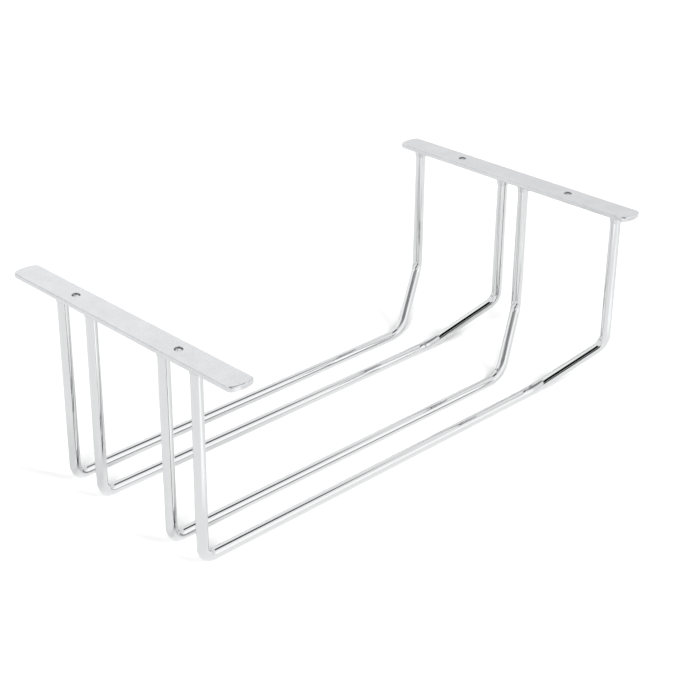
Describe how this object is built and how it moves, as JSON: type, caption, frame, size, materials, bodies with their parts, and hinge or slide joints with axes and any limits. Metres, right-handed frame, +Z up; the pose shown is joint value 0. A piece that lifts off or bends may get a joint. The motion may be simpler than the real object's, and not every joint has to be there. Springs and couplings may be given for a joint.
{
  "type": "under-shelf stemware rack",
  "caption": "Chrome wire rack that hangs under a shelf: bent round rods welded to flat mounting bars form open-ended lanes that hold stemmed glasses by their feet.",
  "frame": {"origin": "under the middle of the rack, level with the undersides of the rods that it stands on", "axes": "+Z up from the rods to the mounting bars, +X along the bars, +Y from the flared open mouths of the lanes at the front to their closed end at the rear"},
  "size_m": [0.23, 0.4, 0.15],
  "materials": {
    "bar_chrome": "bright chrome plate over rolled flat bar, faintly brushed and speckled",
    "rod_chrome": "mirror-bright chrome plate over drawn round wire",
    "weld_chrome": "chrome plate over a small hand-made weld fillet"
  },
  "bodies": {
    "root": {"bar_front": "bar_chrome", "bar_rear": "bar_chrome", "rod_left_inner": "rod_chrome", "rod_left_outer": "rod_chrome", "rod_right_inner": "rod_chrome", "rod_right_outer": "rod_chrome", "weld_front_left_inner": "weld_chrome", "weld_front_left_outer": "weld_chrome", "weld_front_right_inner": "weld_chrome", "weld_front_right_outer": "weld_chrome", "weld_rear_left_inner": "weld_chrome", "weld_rear_left_outer": "weld_chrome", "weld_rear_right_inner": "weld_chrome", "weld_rear_right_outer": "weld_chrome"}
  },
  "joints": []
}
